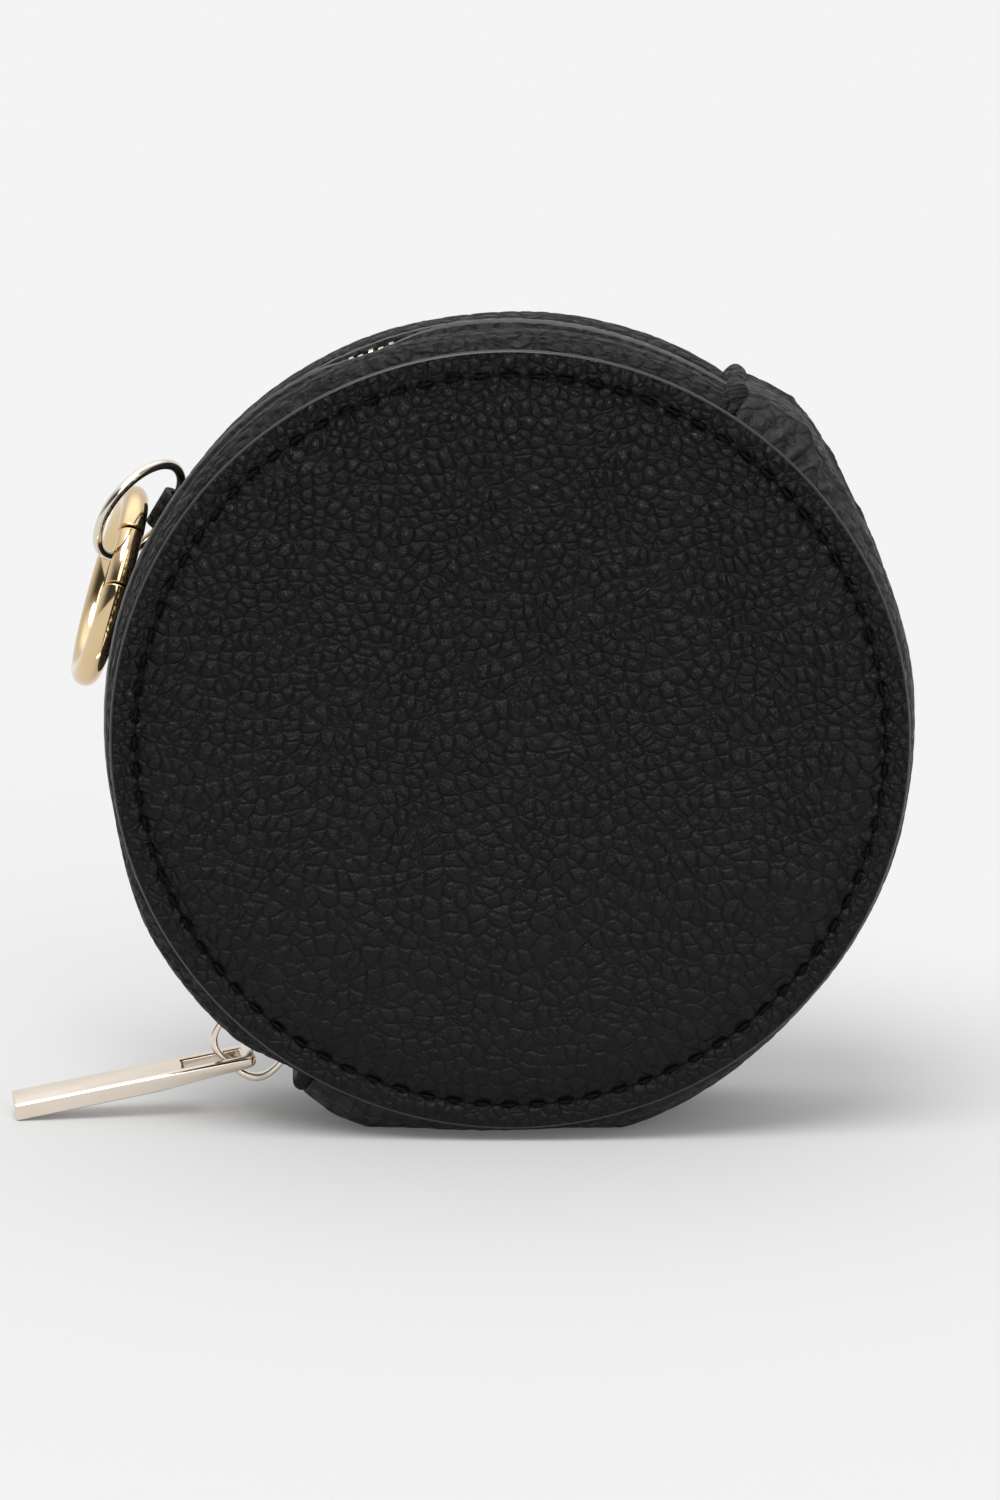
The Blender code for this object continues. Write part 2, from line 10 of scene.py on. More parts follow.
import bmesh
import bpy
import numpy as np
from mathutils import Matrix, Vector


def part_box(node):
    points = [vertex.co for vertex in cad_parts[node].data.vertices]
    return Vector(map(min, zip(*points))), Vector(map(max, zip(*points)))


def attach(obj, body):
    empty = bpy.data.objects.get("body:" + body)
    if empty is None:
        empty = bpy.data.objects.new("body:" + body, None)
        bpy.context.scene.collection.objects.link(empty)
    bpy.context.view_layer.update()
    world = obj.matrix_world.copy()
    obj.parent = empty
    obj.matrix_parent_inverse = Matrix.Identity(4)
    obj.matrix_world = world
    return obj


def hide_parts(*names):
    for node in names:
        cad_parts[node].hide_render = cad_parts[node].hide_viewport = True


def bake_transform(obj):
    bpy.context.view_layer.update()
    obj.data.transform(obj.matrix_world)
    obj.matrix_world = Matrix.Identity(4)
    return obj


MM = 0.001

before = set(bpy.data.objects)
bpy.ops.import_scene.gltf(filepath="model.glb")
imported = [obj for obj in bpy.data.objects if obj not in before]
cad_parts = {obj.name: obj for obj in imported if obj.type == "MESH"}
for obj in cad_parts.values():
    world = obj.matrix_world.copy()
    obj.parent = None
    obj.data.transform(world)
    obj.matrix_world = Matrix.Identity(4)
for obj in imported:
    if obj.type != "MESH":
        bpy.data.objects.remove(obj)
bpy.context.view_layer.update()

# The frame's own sizes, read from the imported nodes.
panel_low, panel_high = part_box("front_panel")
CENTRE_HEIGHT = (panel_low.z + panel_high.z) / 2 / MM
DISC_RADIUS = (panel_high.x - panel_low.x) / 2 / MM
PANEL_BACK = 15.85
FACE_DEPTH = 17.0

# The leather. A pebble is PEBBLE_WIDE where a piece has no surface coordinates of its own.
LEATHER_SPECULAR = 0.17
LEATHER_BLACK = (0.0048, 0.0046, 0.0045)
# The darker colour in the leather's cracks: painted shade.
CRACK_PAINTED_SHADE = (0.0008, 0.0008, 0.0008)
CRACK_ROUGHER = 0.26
PEBBLE_SMOOTHER = 0.06
PEBBLE_WIDE = 2.2
STIR_SCALE = 1.7
STIR_REACH = 0.38

# The face: its dome, its stitch line, its flat band and its painted edge.
DOME_RADIUS = 46.3
DOME_RISE = 1.1
DOME_SHOULDER = 1.0
SHOULDER_REACH = 2.3
STITCH_RADIUS = 46.95
STITCH_PITCH = 3.5
STITCH_LENGTH = 2.0
THREAD = 0.18
PEBBLE_TALL = 1.75
PEBBLE_GROWTH = -0.009
FACE_WIDEN = 1.012
FACE_SEGMENTS = 896
FACE_STEP = 0.34

# The zip rim and the gusset share these ends.
ZIP_START = 56.6
ZIP_END = 239.5
RIB_HALF = 1.2
RIB_FOOT = 48.9
RIB_LOW = 49.7
RIB_RISE = 4.0
RIB_NOTCH = 3.4
STRIP_PATH = (
    (15.45, 44.5), (15.45, 48.6), (15.35, 49.5), (14.6, 50.3), (13.2, 51.0), (12.0, 51.4),
    (10.8, 51.6), (8.6, 51.6), (7.0, 51.5), (5.5, 51.35), (4.2, 51.35), (3.5, 51.3),
    (3.2, 51.0), (3.25, 50.6), (3.7, 50.4), (5.5, 50.5), (8.6, 50.9), (10.8, 51.0), (12.9, 50.2),
    (14.5, 49.0), (14.6, 44.5),
)
GUSSET_CREST = 51.6
GUSSET_BULGES = ((408.0, 2.4, 7.0), (247.0, 2.8, 8.0), (286.0, 1.8, 14.0))
GUSSET_LEATHER = 1.0
RIM_STEP = 0.36
STRIP_PEBBLE = (2.3, 1.6)
GUSSET_PEBBLE = (2.2, 1.9)
ZIP_LIP = 0.9
# The band along the zip lip's crest that gets the lighter edge finish: a painted highlight.
ZIP_LIP_HIGHLIGHT = (16.5, 17.3)
SHEET_INSET = 1.6

# The chain.
TOOTH_PITCH = 2.7
CHAIN_RADIUS = 50.0
CHAIN_START = 61.6
SLIDER_ANGLE = 231.0
CORD_DEPTH = 1.45
CORD_TUBE = 0.42
CORD_SIDES = 10

# The rings.
HANGER_CENTRE = (-48.25, 11.8, 77.05)
HANGER_NORMAL = (0.691, -0.520, -0.503)
HANGER_RADIUS = 7.25
HANGER_WIRE = 0.65
GATE_RING_CENTRE = (-52.6, 18.15, 66.1)
GATE_RING_NORMAL = (-0.9536, -0.0905, 0.2871)
GATE_RING_RADIUS = 11.85
GATE_RING_TUBE = 1.75
GATE_TUBE = 1.62
GATE_START = 42.0
GATE_END = 82.0
PIN_SETBACK = 4.8
PIN_INSET = 0.8
GATE_SETBACK = 1.6
GATE_GAP = 0.3
RING_BAR_LENGTH = 66.0
GATE_BAR_LENGTH = 8.0

# The floor lies just under the lowest point, in metres.
FLOOR_HEIGHT = -0.00033

# The studio's brightness along Y, from the camera's side to behind, and what is added overhead along
# Z. Each is where the change starts and ends in the direction's unit vector, then both strengths.
SKY_BACK = (-0.7, 0.6, 0.06, 0.8)
SKY_TOP = (0.45, 0.95, 0.0, 0.85)


# Noise on a grid of cells


def scatter(i, j, seed):
    """A repeatable number from 0 to 1 for each whole-numbered cell."""
    value = np.sin(i * 127.1 + j * 311.7 + seed * 74.7) * 43758.5453
    return value - np.floor(value)


def soft_noise(u, v, seed):
    """Smooth noise from -1 to 1 with cells one unit wide."""
    i, j = np.floor(u), np.floor(v)
    a, b = u - i, v - j
    a, b = a * a * (3 - 2 * a), b * b * (3 - 2 * b)
    low = scatter(i, j, seed) * (1 - a) + scatter(i + 1, j, seed) * a
    high = scatter(i, j + 1, seed) * (1 - a) + scatter(i + 1, j + 1, seed) * a
    return 2 * (low * (1 - b) + high * b) - 1


def pebbles(u, v, crack, seed):
    """Rounded pebbles one unit wide, from 0 in the cracks to 1, with a height of its own for each."""
    i, j = np.floor(u), np.floor(v)
    first = np.full(u.shape, 9.0)
    second = np.full(u.shape, 9.0)
    own = np.zeros(u.shape)
    for di in (-1, 0, 1):
        for dj in (-1, 0, 1):
            ci, cj = i + di, j + dj
            x = ci + 0.5 + 0.8 * (scatter(ci, cj, seed) - 0.5) - u
            y = cj + 0.5 + 0.8 * (scatter(ci, cj, seed + 5) - 0.5) - v
            away = np.sqrt(x * x + y * y)
            nearer = away < first
            second = np.where(nearer, first, np.minimum(second, away))
            own = np.where(nearer, scatter(ci, cj, seed + 9), own)
            first = np.minimum(first, away)
    rise = np.clip((second - first) / crack, 0, 1)
    return rise * (2 - rise) * (0.82 + 0.36 * own)


def bump_at(value, middle, spread):
    return np.exp(-(((value - middle) / spread) ** 2))


def step_between(value, low, high):
    part = np.clip((value - low) / (high - low), 0, 1)
    return part * part * (3 - 2 * part)


# Meshes


def new_object(name, points, faces, finishes, slots=None, uv=None):
    """A smooth mesh from points in millimetres. slots gives each face's material."""
    mesh = bpy.data.meshes.new(name)
    mesh.from_pydata((np.asarray(points, float) * MM).tolist(), [], faces)
    for finish in finishes:
        mesh.materials.append(finish)
    if slots is not None:
        mesh.polygons.foreach_set("material_index", np.asarray(slots, np.int32))
    if uv is not None:
        corner = np.zeros(len(mesh.loops), np.int32)
        mesh.loops.foreach_get("vertex_index", corner)
        layer = mesh.uv_layers.new(name="surface")
        layer.data.foreach_set("uv", np.asarray(uv, np.float32)[corner].ravel())
    shape = bmesh.new()
    shape.from_mesh(mesh)
    bmesh.ops.recalc_face_normals(shape, faces=shape.faces)
    shape.to_mesh(mesh)
    shape.free()
    mesh.shade_smooth()
    made = bpy.data.objects.new(name, mesh)
    bpy.context.scene.collection.objects.link(made)
    return made


def grid_faces(rows, columns, loop_rows=False, loop_columns=False, first=0):
    faces = []
    for i in range(rows if loop_rows else rows - 1):
        for j in range(columns if loop_columns else columns - 1):
            i2, j2 = (i + 1) % rows, (j + 1) % columns
            corners = (i * columns + j, i * columns + j2, i2 * columns + j2, i2 * columns + j)
            faces.append(tuple(first + c for c in corners))
    return faces


def tube_solid(name, grid, finishes, ring=False, uv=None, slots=None):
    """A closed mesh from grid[n, k]: loops of points along a path, capped unless it is a ring.

    slots gives the material of each face round an open tube's loop.
    """
    rows, columns = grid.shape[:2]
    faces = grid_faces(rows, columns, loop_rows=ring, loop_columns=True)
    if not ring:
        faces.append(tuple(range(columns)))
        faces.append(tuple((rows - 1) * columns + k for k in range(columns)))
    uv = None if uv is None else uv.reshape(-1, 2)
    if slots is not None:
        slots = list(slots) * (rows - 1) + [0, 0]
    return new_object(name, grid.reshape(-1, 3), faces, finishes, slots, uv)


def rim_points(angle, radius, depth):
    turn = np.radians(angle)
    x, z = radius * np.cos(turn), CENTRE_HEIGHT + radius * np.sin(turn)
    return np.stack(np.broadcast_arrays(x, depth, z), -1)


def smooth_path(points, step):
    """Points no further apart than step on a smooth curve through these, and their distances."""
    points = np.asarray(points, float)
    before = np.vstack([2 * points[0] - points[1], points[:-1]])
    after = np.vstack([points[1:], 2 * points[-1] - points[-2]])
    slope = (after - before) / 2
    made = []
    for n in range(len(points) - 1):
        count = max(1, math.ceil(np.linalg.norm(points[n + 1] - points[n]) / step))
        t = (np.arange(count) / count)[:, None]
        a, b = points[n], points[n + 1]
        made.append(
            (2 * t**3 - 3 * t**2 + 1) * a + (t**3 - 2 * t**2 + t) * slope[n]
            + (3 * t**2 - 2 * t**3) * b + (t**3 - t**2) * slope[n + 1]
        )
    made = np.vstack([*made, points[-1:]])
    gaps = np.linalg.norm(np.diff(made, axis=0), axis=1)
    return made, np.concatenate([[0], np.cumsum(gaps)])


def outward_of(path):
    """The unit normals of a (depth, radius) path that runs from the disc's edge over the crown."""
    slope = np.gradient(path, axis=0)
    normal = np.stack([slope[:, 1], -slope[:, 0]], -1)
    return normal / np.linalg.norm(normal, axis=1, keepdims=True)


# Materials


class Finish:
    """A Principled material and short ways to add the nodes that drive it."""

    def __init__(self, name, colour, roughness, metallic=0.0, specular=0.5):
        self.material = bpy.data.materials.new(name)
        self.material.use_nodes = True
        self.tree = self.material.node_tree
        self.shader = self.tree.nodes["Principled BSDF"]
        self.shader.inputs["Base Color"].default_value = (*colour, 1)
        self.shader.inputs["Roughness"].default_value = roughness
        self.shader.inputs["Metallic"].default_value = metallic
        self.shader.inputs["Specular IOR Level"].default_value = specular
        self.bumped = None

    def node(self, kind, values=None, **settings):
        made = self.tree.nodes.new(kind)
        for key, value in settings.items():
            setattr(made, key, value)
        for key, value in (values or {}).items():
            if isinstance(value, bpy.types.NodeSocket):
                self.tree.links.new(value, made.inputs[key])
            else:
                made.inputs[key].default_value = value
        return made

    def place(self, uv=False):
        return self.node("ShaderNodeTexCoord").outputs["UV" if uv else "Object"]

    def noise(self, scale, detail=3.0, rough=0.55, where=None):
        values = {"Vector": where or self.place(), "Scale": scale, "Detail": detail, "Roughness": rough}
        return self.node("ShaderNodeTexNoise", values).outputs["Fac"]

    def cells(self, scale, feature="DISTANCE_TO_EDGE", where=None):
        values = {"Vector": where or self.place(), "Scale": scale}
        return self.node("ShaderNodeTexVoronoi", values, feature=feature).outputs["Distance"]

    def ranged(self, value, low, high, to_low, to_high):
        values = {"Value": value, "From Min": low, "From Max": high}
        values.update({"To Min": to_low, "To Max": to_high})
        return self.node("ShaderNodeMapRange", values).outputs["Result"]

    def sums(self, operation, a, b):
        return self.node("ShaderNodeMath", {0: a, 1: b}, operation=operation).outputs[0]

    def scaled(self, vector, scale):
        values = {0: vector, 3: scale}
        return self.node("ShaderNodeVectorMath", values, operation="SCALE").outputs[0]

    def bump(self, height, strength, distance):
        values = {"Height": height, "Strength": strength, "Distance": distance * MM}
        if self.bumped is not None:
            values["Normal"] = self.bumped
        self.bumped = self.node("ShaderNodeBump", values).outputs["Normal"]
        self.tree.links.new(self.bumped, self.shader.inputs["Normal"])

    def rough(self, value, low, high):
        result = self.ranged(value, 0.25, 0.75, low, high)
        self.tree.links.new(result, self.shader.inputs["Roughness"])

    def colour(self, value, low, high):
        ramp = self.node("ShaderNodeValToRGB", {"Fac": value})
        ramp.color_ramp.elements[0].color = (*low, 1)
        ramp.color_ramp.elements[1].color = (*high, 1)
        self.tree.links.new(ramp.outputs["Color"], self.shader.inputs["Base Color"])


def leather(name, tone=1.0, depth=1.0, rough=0.34, on_surface=True):
    """Black pebbled leather. The surface coordinates count its pebbles, or the object's own do.

    A pebble is domed towards the top of the purse and flat, between thin cracks, lower down.
    """
    made = Finish(name, (0.012, 0.0115, 0.011), rough, specular=LEATHER_SPECULAR)
    where = made.place(uv=True)
    if not on_surface:
        where = made.scaled(made.place(), 1 / (PEBBLE_WIDE * MM))
    values = {"Vector": where, "Scale": STIR_SCALE, "Detail": 3.0}
    stir = made.node("ShaderNodeTexNoise", values).outputs["Color"]
    values = {0: where, 1: made.scaled(stir, STIR_REACH)}
    where = made.node("ShaderNodeVectorMath", values, operation="ADD").outputs[0]
    edges = made.cells(1.0, "DISTANCE_TO_EDGE", where)
    middles = made.cells(1.0, "F1", where)
    small = made.cells(2.6, "DISTANCE_TO_EDGE", where)
    tall = made.node("ShaderNodeSeparateXYZ", {0: made.place()}).outputs["Z"]
    upward = made.ranged(tall, 0.018, 0.09, 0.3, 1.2)
    crack = made.ranged(edges, 0.0, 0.16, 0.0, 1.0)
    dome = made.sums("MULTIPLY", made.ranged(middles, 0.0, 0.75, 1.0, 0.0), upward)
    crease = made.ranged(small, 0.0, 0.12, 0.0, 1.0)
    relief = made.ranged(tall, 0.005, 0.06, 0.4, 1.0)
    made.bump(made.noise(5200, 2.0), 0.35, 0.02)
    made.bump(made.noise(2300, 4.0, 0.65), 0.6, 0.1)
    made.bump(made.sums("MULTIPLY", crease, relief), 0.7 * depth, 0.08)
    made.bump(dome, 1.0 * depth, 0.5)
    made.bump(made.sums("MULTIPLY", crack, relief), 1.0 * depth, 0.25)
    fade = made.ranged(made.noise(700, 3.0), 0.3, 0.7, 0.5, 1.0)
    # The cracks are darkened in the base colour as painted shade; the slow noise is the leather's own
    # uneven tone.
    painted_crack_shade_and_tone = made.sums("MULTIPLY", made.ranged(edges, 0.0, 0.05, 0.3, 1.0), fade)
    # tone lightens the whole base colour of a copy; for the rim and gusset copies this is painted
    # light.
    made.colour(painted_crack_shade_and_tone, [c * tone for c in CRACK_PAINTED_SHADE], [c * tone for c in LEATHER_BLACK])
    worn = made.sums("MULTIPLY", crack, made.noise(900, 2.0))
    worn = made.ranged(worn, 0.1, 0.7, rough + CRACK_ROUGHER, rough - PEBBLE_SMOOTHER)
    made.tree.links.new(worn, made.shader.inputs["Roughness"])
    return made.material


def edge_paint():
    """The cut leather's smooth painted edge, also a painted highlight on the zip lip's crest."""
    made = Finish("edge_paint", (0.05, 0.047, 0.045), 0.36, specular=0.4)
    made.colour(made.noise(300, 2.0), (0.012, 0.0108, 0.0102), (0.026, 0.0238, 0.0225))
    made.bump(made.noise(700, 3.0), 0.3, 0.05)
    return made.material


def thread():
    made = Finish("black_thread", (0.004, 0.004, 0.004), 0.8, specular=0.1)
    made.bump(made.noise(4200, 2.0), 0.8, 0.08)
    made.colour(made.noise(2600, 2.0), (0.001, 0.001, 0.001), (0.004, 0.004, 0.004))
    return made.material


def cloth(name, low, high, threads):
    """Woven cloth. threads is how many threads fill a millimetre."""
    made = Finish(name, high, 0.85, specular=0.25)
    where = made.place(uv=True)
    values = {"Vector": where, "Scale": threads / 2}
    warp = made.node("ShaderNodeTexWave", values, bands_direction="X")
    weft = made.node("ShaderNodeTexWave", values, bands_direction="Y")
    weave = made.sums("MULTIPLY", warp.outputs["Fac"], weft.outputs["Fac"])
    made.bump(weave, 0.7, 0.12)
    made.bump(made.noise(2500, 2.0), 0.3, 0.05)
    made.colour(weave, low, high)
    made.shader.inputs["Sheen Weight"].default_value = 0.15
    made.shader.inputs["Sheen Roughness"].default_value = 0.5
    return made.material


def metal(name, low, high, roughness, scratch=0.25):
    """Polished plated metal with faint brushing and a slow change of tone."""
    made = Finish(name, high, roughness, metallic=1.0)
    made.colour(made.noise(120, 2.0), low, high)
    made.rough(made.noise(900, 3.0), roughness * 0.7, roughness * 1.5)
    made.bump(made.noise(350, 2.0, 0.4), scratch, 0.03)
    return made.material


# The rim and gusset copies of the one leather have a lighter base colour through tone: painted light.
# The tab's copy is a little lighter as well.
grain = leather("pebbled_leather")
rim_grain = leather("rim_leather", tone=1.9, depth=0.7, rough=0.44)
gusset_grain = leather("gusset_leather", tone=4.2, depth=0.7, rough=0.42)
tab_grain = leather("tab_leather", tone=1.2, rough=0.46, on_surface=False)
edge_paint_and_highlight = edge_paint()
black_thread = thread()
tape_weave = cloth("zip_tape_weave", (0.004, 0.004, 0.004), (0.016, 0.015, 0.015), 2.6)
lining_weave = cloth("lining_weave", (0.016, 0.016, 0.018), (0.05, 0.05, 0.055), 3.2)
gold = metal("pale_gold_polish", (0.66, 0.48, 0.26), (0.82, 0.64, 0.39), 0.09)
silver_gold = metal("ring_wire_polish", (0.72, 0.66, 0.56), (0.84, 0.79, 0.70), 0.13)
tooth_gold = metal("tooth_metal", (0.78, 0.64, 0.48), (0.92, 0.82, 0.68), 0.3)
pull_gold = metal("pull_polish", (0.84, 0.73, 0.61), (0.92, 0.83, 0.73), 0.14, 0.03)


# The two faces


def face_surface(x, z, side):
    """Surface coordinates that count pebbles: round at the top, longer lower down, fine at the edge."""
    wide = x + 1.0 * soft_noise(x / 8, z / 8, 3 + side)
    tall = z + 1.0 * soft_noise(x / 8, z / 8, 8 + side)
    column = wide / (1.85 - 0.005 * tall)
    row = np.log(PEBBLE_TALL + PEBBLE_GROWTH * tall) / PEBBLE_GROWTH
    band = np.hypot(x, z) > STITCH_RADIUS
    return np.where(band, x / 1.45, column), np.where(band, z / 1.45, row)


def face_height(x, z, side):
    """How far a face's leather stands out from its rim's plane."""
    radius = np.hypot(x, z)
    angle = np.arctan2(z, x)
    inside = np.maximum(DOME_RADIUS - radius, 0)
    rise = DOME_RISE * np.maximum(1 - (radius / DOME_RADIUS) ** 2, 0)
    rise += DOME_SHOULDER * (1 - np.exp(-inside / SHOULDER_REACH))
    count = round(2 * math.pi * STITCH_RADIUS / STITCH_PITCH)
    phase = np.cos(angle * count)
    on_stitch = step_between(phase, -0.55, 0.1)
    wander = STITCH_RADIUS + 0.08 * soft_noise(angle * 40, radius * 0, 44)
    rise -= bump_at(radius, wander, 0.36) * (0.22 + 0.5 * on_stitch)
    rise += bump_at(radius, STITCH_RADIUS + 0.1, 0.8) * (1 - on_stitch) * 0.2
    rise += bump_at(radius, 45.4, 1.1) * 0.08 * -phase
    rise += bump_at(radius, 48.3, 0.9) * (0.10 + 0.12 * soft_noise(angle * 30, radius, 2))
    rise -= 0.22 * np.maximum((radius - 49.1) / 0.6, 0) ** 2
    column, row = face_surface(x, z, side)
    rise += 0.06 * pebbles(column * 0.8, row * 0.8, 0.6, 20 + side) * step_between(inside, 0.5, 3)
    return rise + 0.12 * soft_noise(x / 9, z / 9, 12) * step_between(inside, 0, 6)


def face(name, body, side, prefix):
    rings = [(44.0, PANEL_BACK), (49.6, PANEL_BACK), (49.95, PANEL_BACK + 0.12), (50.1, 16.15)]
    rings += [(50.14, 16.4), (50.05, 16.65), (49.85, 16.82), (49.65, 16.87)]
    painted = len(rings)
    radius = 49.45
    while radius > FACE_STEP:
        rings.append((radius, None))
        radius -= FACE_STEP
    points, loops, surface = [], [], []
    count, first = FACE_SEGMENTS, 0
    for radius, depth in rings:
        if count > 14 and radius < DISC_RADIUS / 2 * count / FACE_SEGMENTS:
            count //= 2
        turn = np.arange(count) * 2 * math.pi / count
        x, z = radius * np.cos(turn), radius * np.sin(turn)
        out = np.full(count, depth) if depth else FACE_DEPTH + face_height(x, z, side)
        points.append(np.stack([x * FACE_WIDEN, side * out, z + CENTRE_HEIGHT], -1))
        surface.append(np.stack(face_surface(x, z, side), -1))
        loops.append((first, count))
        first += count
    faces, slots = [tuple(range(FACE_SEGMENTS))], [0]
    for n, ((a, many), (b, few)) in enumerate(zip(loops, loops[1:])):
        for k in range(few):
            k2 = (k + 1) % few
            if many == few:
                faces.append((a + k, a + k2, b + k2, b + k))
            else:
                one, two, three = a + 2 * k, a + 2 * k + 1, a + (2 * k + 2) % many
                faces += [(b + k, one, two), (b + k, two, b + k2), (b + k2, two, three)]
        slots += [1 if 1 <= n < painted - 2 else 0] * (len(faces) - len(slots))
    faces.append(tuple(loops[-1][0] + k for k in range(loops[-1][1])))
    slots.append(0)
    made = new_object(name, np.vstack(points), faces, [grain, edge_paint_and_highlight], slots, np.vstack(surface))
    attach(made, body)
    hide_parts(prefix + "_panel", prefix + "_padding")
    return made


def stitches(name, body, side):
    """The face's stitch line: one sunk length of thread for each stitch, doubled at the backtack."""
    count = round(2 * math.pi * STITCH_RADIUS / STITCH_PITCH)
    rows, sides = 9, 8
    along = np.linspace(-0.5, 0.5, rows)
    turn = np.arange(sides) * 2 * math.pi / sides
    swell = np.sqrt(np.maximum(1 - (2 * np.abs(along)) ** 4, 0.02))
    sink = 0.42 * (2 * np.abs(along)) ** 2.5
    runs = [(k, 0.0) for k in range(count)] + [(k + 0.45, -0.34) for k in range(46, 51)]
    points, faces = [], []
    for place, inset in runs:
        uneven = scatter(place, 1.0, 7 + side) - 0.5
        middle = 360 * (place + 0.12 * uneven) / count
        radius = STITCH_RADIUS + inset + 0.12 * (scatter(place, 2.0, 7 + side) - 0.5)
        angle = np.radians(middle) + along[:, None] * STITCH_LENGTH * (1 + 0.3 * uneven) / radius
        reach = radius + THREAD * swell[:, None] * np.cos(turn)
        out = FACE_DEPTH + 0.02 - sink[:, None] + THREAD * swell[:, None] * np.sin(turn)
        x, z = FACE_WIDEN * reach * np.cos(angle), CENTRE_HEIGHT + reach * np.sin(angle)
        grid = np.stack([x, side * out, z], -1)
        first = len(points) * rows * sides
        faces += grid_faces(rows, sides, loop_columns=True, first=first)
        faces += [tuple(first + k for k in range(sides))]
        faces += [tuple(first + (rows - 1) * sides + k for k in range(sides))]
        points.append(grid.reshape(-1, 3))
    made = new_object(name, np.vstack(points), faces, [black_thread])
    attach(made, body)
    return made


# The rim


def rim_sheet(
    name, path, angles, lift, finish, side=1, radius_of=None, unit=(1, 1), painted=None
):
    """A closed loop of (depth, radius) points swept round the rim, lifted along its own normal.

    unit is how far along and across the rim one unit of its surface coordinates is. painted is
    the part of the path given the lighter edge finish, a painted highlight on the zip lip's crest.
    """
    places, run = smooth_path(path, RIM_STEP)
    normal = outward_of(places)
    arc = np.radians(angles)[:, None] * CHAIN_RADIUS
    depth, radius = places[:, 0][None], places[:, 1][None]
    if radius_of is not None:
        radius = radius_of(angles[:, None], depth, radius)
    height = lift(angles[:, None], depth, run[None], arc)
    depth = depth + normal[:, 0][None] * height
    radius = radius + normal[:, 1][None] * height
    grid = rim_points(angles[:, None], radius, side * depth)
    grid[..., 2] = np.maximum(grid[..., 2], 0.02)
    across = run[None] + 0 * arc
    sway = 0.8 * soft_noise(arc / 8, across / 5, 4 + side)
    uv = np.stack(np.broadcast_arrays((arc + sway) / unit[0], (across + sway) / unit[1]), -1)
    if painted is None:
        return tube_solid(name, grid, [finish], uv=uv)
    slots = ((run >= painted[0]) & (run <= painted[1])).astype(int)
    return tube_solid(name, grid, [finish, edge_paint_and_highlight], uv=uv, slots=slots)


def rim_angles(start, end, step=RIM_STEP):
    return np.linspace(start, end, math.ceil(math.radians(end - start) * CHAIN_RADIUS / step) + 1)


def strip_lift(side):
    def lift(angle, depth, run, arc):
        """Puckers beside the disc, the pressed line along the zip edge, and low pebbles."""
        outer = step_between(run, 4.2, 5.4) * (1 - step_between(run, 18.8, 19.8))
        smooth = 1 - 0.7 * bump_at(angle, 182, 28)
        sway = 0.6 * soft_noise(arc / 8, run / 5, 4 + side)
        height = 0.10 * smooth * pebbles(arc / 2.6 + sway, run / 1.6 + sway, 0.5, 41 + side)
        lumps = pebbles(arc / 2.2 + sway, run / 1.9 + sway, 0.5, 47 + side)
        height = height + bump_at(run, 7.4, 1.5) * (0.42 * lumps - 0.1) * smooth
        height = height - 0.3 * bump_at(run, 9.6, 0.4) - 0.26 * bump_at(run, 15.6, 0.4)
        height = height + 0.25 * soft_noise(arc / 14, run / 6, 9) * smooth
        if side < 0:
            opened = bump_at(angle, 110, 6.5)
            height = height + ZIP_LIP * bump_at(run, 17.6, 1.5) * (1 - 1.25 * opened)
            bulge = step_between(angle, 190, 212) * (1 - step_between(angle, 228, 238))
            height = height + 1.5 * bulge * bump_at(run, 10.5, 4.5)
        return outer * height

    return lift


def zip_strip(name, body, side, prefix):
    angles = rim_angles(ZIP_START + 0.9, ZIP_END - 0.9)
    # The lip's crest takes the lighter edge finish as a painted highlight.
    made = rim_sheet(
        name, STRIP_PATH, angles, strip_lift(side), rim_grain, side, None, STRIP_PEBBLE, ZIP_LIP_HIGHLIGHT
    )
    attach(made, body)
    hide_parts(prefix + "_zip_strip")


def gusset_crest(angle):
    crest = GUSSET_CREST
    for middle, rise, spread in GUSSET_BULGES:
        crest = crest + rise * np.exp(-(((angle - middle) / spread) ** 2) / 2)
    drop = np.maximum(-np.sin(np.radians(angle)), 0.5)
    return np.minimum(crest, CENTRE_HEIGHT / drop)


def gusset_path():
    """The gusset's section where its crest is GUSSET_CREST, from one disc to the other and back."""
    crest = GUSSET_CREST
    half = [(15.45, 44.5), (15.45, 48.6), (15.35, 49.5), (14.7, 50.3), (13.2, 51.0), (11.4, 51.45)]
    half += [(9.6, crest), (5.0, crest + 0.15)]
    outer = half + [(0.0, crest + 0.2)] + [(-y, r) for y, r in reversed(half)]
    back = [(-14.55, 44.5), (-14.5, 48.6), (-13.6, 49.4), (-9.6, crest - GUSSET_LEATHER)]
    return outer + back + [(-y, r) for y, r in reversed(back)]


def gusset_radius(angle, depth, radius):
    """Carries each point out with the crest, less towards the seams."""
    extra = gusset_crest(angle) - GUSSET_CREST
    share = 1 - 0.45 * step_between(np.abs(depth), 9.6, 13.6)
    share = share * (1 - step_between(np.abs(depth), 13.6, 15.2))
    low = np.minimum(extra, 0) * (1 - step_between(np.abs(depth), 14.8, 15.4))
    return radius + np.maximum(extra, 0) * share + low


